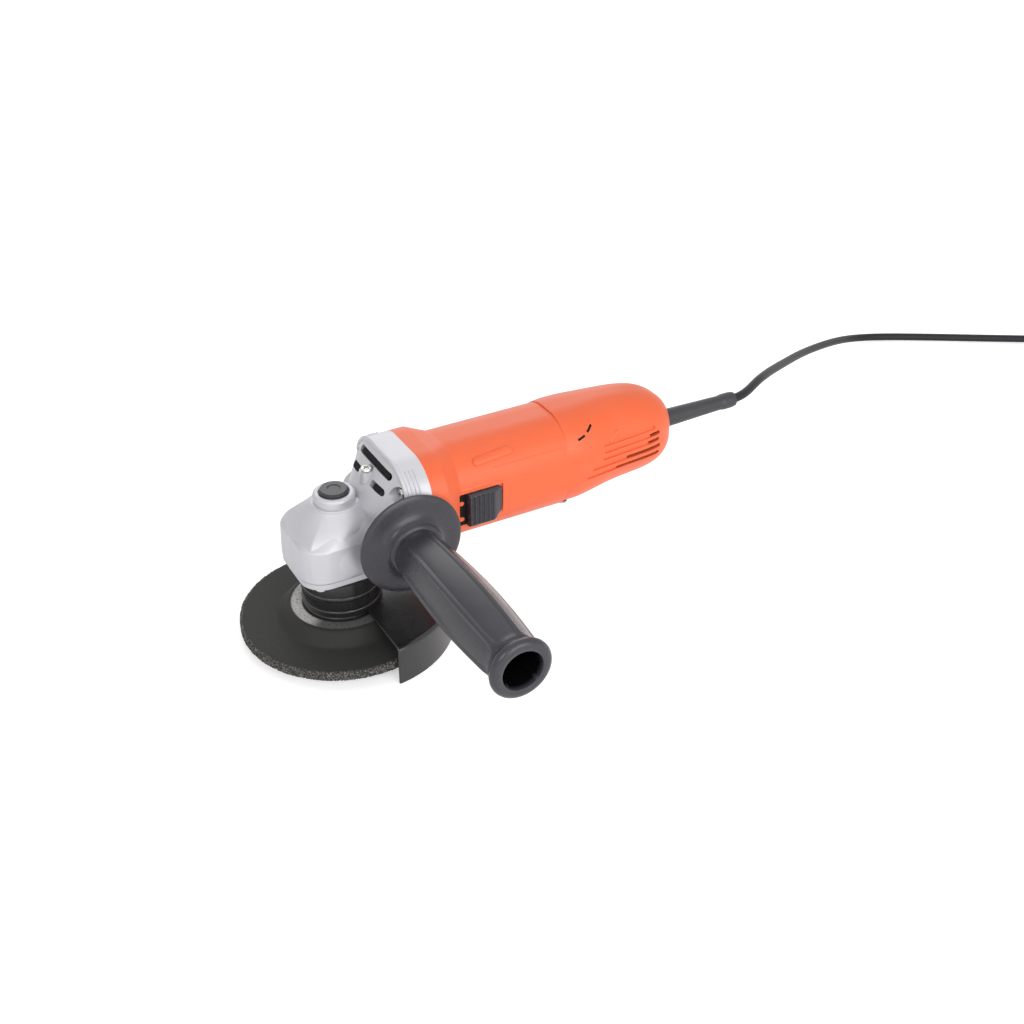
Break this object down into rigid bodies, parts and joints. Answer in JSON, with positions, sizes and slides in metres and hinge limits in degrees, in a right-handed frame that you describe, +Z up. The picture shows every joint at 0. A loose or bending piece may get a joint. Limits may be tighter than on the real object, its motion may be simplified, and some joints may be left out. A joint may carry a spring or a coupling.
{
  "type": "angle grinder",
  "caption": "Corded angle grinder with a depressed-centre wheel, turning guard, side handle, slide switch, spindle lock and cord with plug.",
  "frame": {"origin": "under the middle of the grinder's box without its cord, at the foot of the wheel guard", "axes": "+X along the motor to the cord, +Z up along the spindle, side handle towards -Y"},
  "size_m": [0.8018, 0.3243, 0.1157],
  "materials": {
    "cast_aluminium": "fine-blasted die casting",
    "orange_housing": "satin moulded",
    "charcoal_plastic": "satin moulded",
    "inner_plastic": "moulded",
    "black_steel": "gloss black",
    "steel": "ground",
    "zinc_screws": "zinc plated",
    "abrasive": "gritty",
    "core_steel": "stacked sheets",
    "copper": "lacquered",
    "carbon": "pressed carbon",
    "cord_rubber": "matt",
    "tie_plastic": "moulded",
    "nickel_pins": "nickel plated"
  },
  "bodies": {
    "housing": {"gear_housing": "cast_aluminium", "bearing_flange": "cast_aluminium", "motor_housing": "orange_housing", "rear_cover": "orange_housing", "handle_grip": "charcoal_plastic", "fan_baffle": "inner_plastic", "brush_holders": "inner_plastic", "switch_body": "inner_plastic", "cord_clamp": "inner_plastic", "spindle_bearing": "steel", "needle_bearing": "steel", "front_bearing": "steel", "rear_bearing": "steel", "bearing_retainer": "steel", "bearing_plate": "steel", "button_ring": "steel", "lock_spring": "steel", "brush_springs": "steel", "handle_stud": "steel", "vent_screw": "zinc_screws", "housing_screws": "zinc_screws", "bearing_flange_screws": "zinc_screws", "rear_cover_screws": "zinc_screws", "cord_clamp_screws": "zinc_screws", "stator_core": "core_steel", "field_coils": "copper", "carbon_brushes": "carbon", "cord_sleeve": "cord_rubber", "inner_cord": "cord_rubber", "cord": "cord_rubber", "cord_coil": "cord_rubber", "cord_end": "cord_rubber", "plug": "cord_rubber", "cord_tie": "tie_plastic", "plug_pins": "nickel_pins"},
    "spindle_unit": {"spindle": "steel", "crown_gear": "steel", "backing_flange": "black_steel", "grinding_wheel": "abrasive", "lock_nut": "steel"},
    "armature": {"armature_shaft": "steel", "pinion": "steel", "pinion_nut": "steel", "cooling_fan": "inner_plastic", "rotor_core": "core_steel", "rotor_windings": "copper", "commutator": "copper"},
    "guard": {"wheel_guard": "black_steel", "guard_collar": "black_steel", "clamp_screw": "zinc_screws", "clamp_nut": "zinc_screws"},
    "switch": {"switch_button": "charcoal_plastic", "switch_rod": "inner_plastic"},
    "lock": {"lock_button": "charcoal_plastic"}
  },
  "joints": [
    {"name": "spindle_spin", "type": "hinge", "parent": "housing", "child": "spindle_unit", "pos_m": [-0.11175, 0.05238, 0.04], "axis": [0, 0, 1], "continuous": true},
    {"name": "armature_spin", "type": "hinge", "parent": "housing", "child": "armature", "pos_m": [-0.03175, 0.05238, 0.0827], "axis": [1, 0, 0], "continuous": true},
    {"name": "guard_turn", "type": "hinge", "parent": "housing", "child": "guard", "pos_m": [-0.11175, 0.05238, 0.032], "axis": [0, 0, 1], "range_deg": [-60, 90]},
    {"name": "switch_slide", "type": "slide", "parent": "housing", "child": "switch", "axis": [-1, 0, 0], "range_m": [0, 0.005]},
    {"name": "lock_press", "type": "slide", "parent": "housing", "child": "lock", "axis": [0, 0, -1], "range_m": [0, 0.0033], "stiffness_N_per_m": 600, "springref_m": -0.003, "deforming": ["lock_spring"]}
  ],
  "couplings": [
    {"joint": "armature_spin", "follows": "spindle_spin", "ratio": 3.1818}
  ]
}
